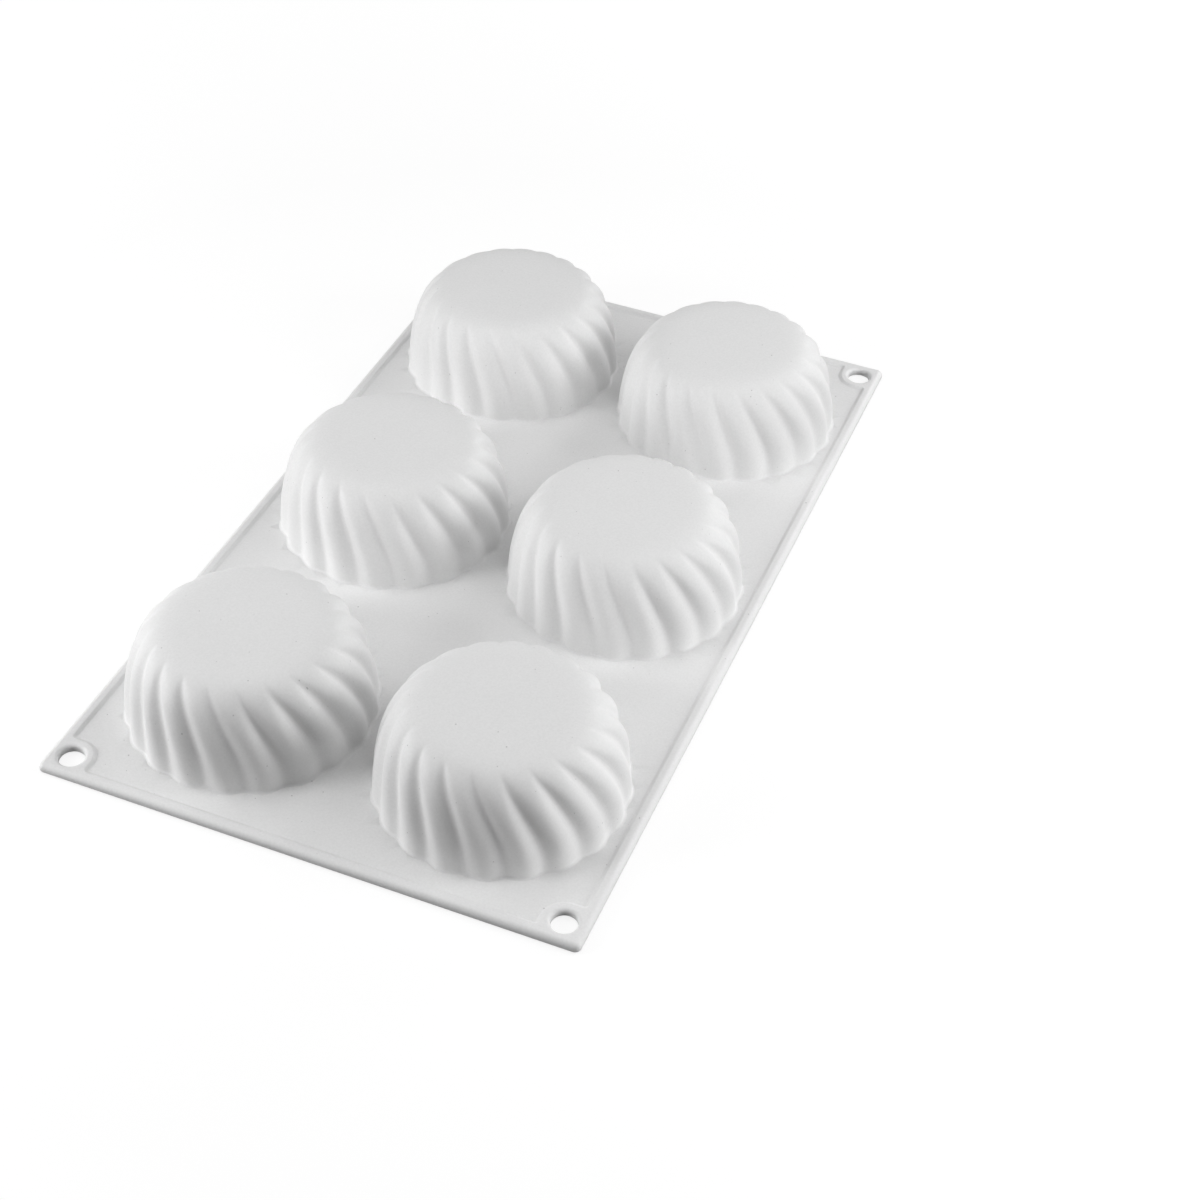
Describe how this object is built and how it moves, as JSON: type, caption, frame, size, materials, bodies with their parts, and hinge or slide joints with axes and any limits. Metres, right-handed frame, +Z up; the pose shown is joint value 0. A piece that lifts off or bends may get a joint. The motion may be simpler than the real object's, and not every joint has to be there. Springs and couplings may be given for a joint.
{
  "type": "silicone mould",
  "caption": "Flexible silicone baking mould: a flat sheet with a raised edge, hanging holes at the corners and a grid of twisted fluted cups with undercut mouths.",
  "frame": {"origin": "centre of the mouth face, the flat face that the mould lies on with its domes up", "axes": "+Z up from the mouth face to the dome tops, +Y along the sheet to its back edge, +X across the sheet to the right"},
  "size_m": [0.175, 0.3, 0.0345],
  "materials": {
    "silicone": "satin white food-grade silicone"
  },
  "bodies": {
    "root": {"tray_sheet": "silicone", "edge_bead_front": "silicone", "edge_bead_back": "silicone", "edge_bead_left": "silicone", "edge_bead_right": "silicone", "corner_pad_front_left": "silicone", "corner_pad_front_right": "silicone", "corner_pad_back_left": "silicone", "corner_pad_back_right": "silicone", "cup_front_left": "silicone", "cup_front_right": "silicone", "cup_middle_left": "silicone", "cup_middle_right": "silicone", "cup_back_left": "silicone", "cup_back_right": "silicone", "mouth_collar_front_left": "silicone", "mouth_collar_front_right": "silicone", "mouth_collar_middle_left": "silicone", "mouth_collar_middle_right": "silicone", "mouth_collar_back_left": "silicone", "mouth_collar_back_right": "silicone"}
  },
  "joints": []
}
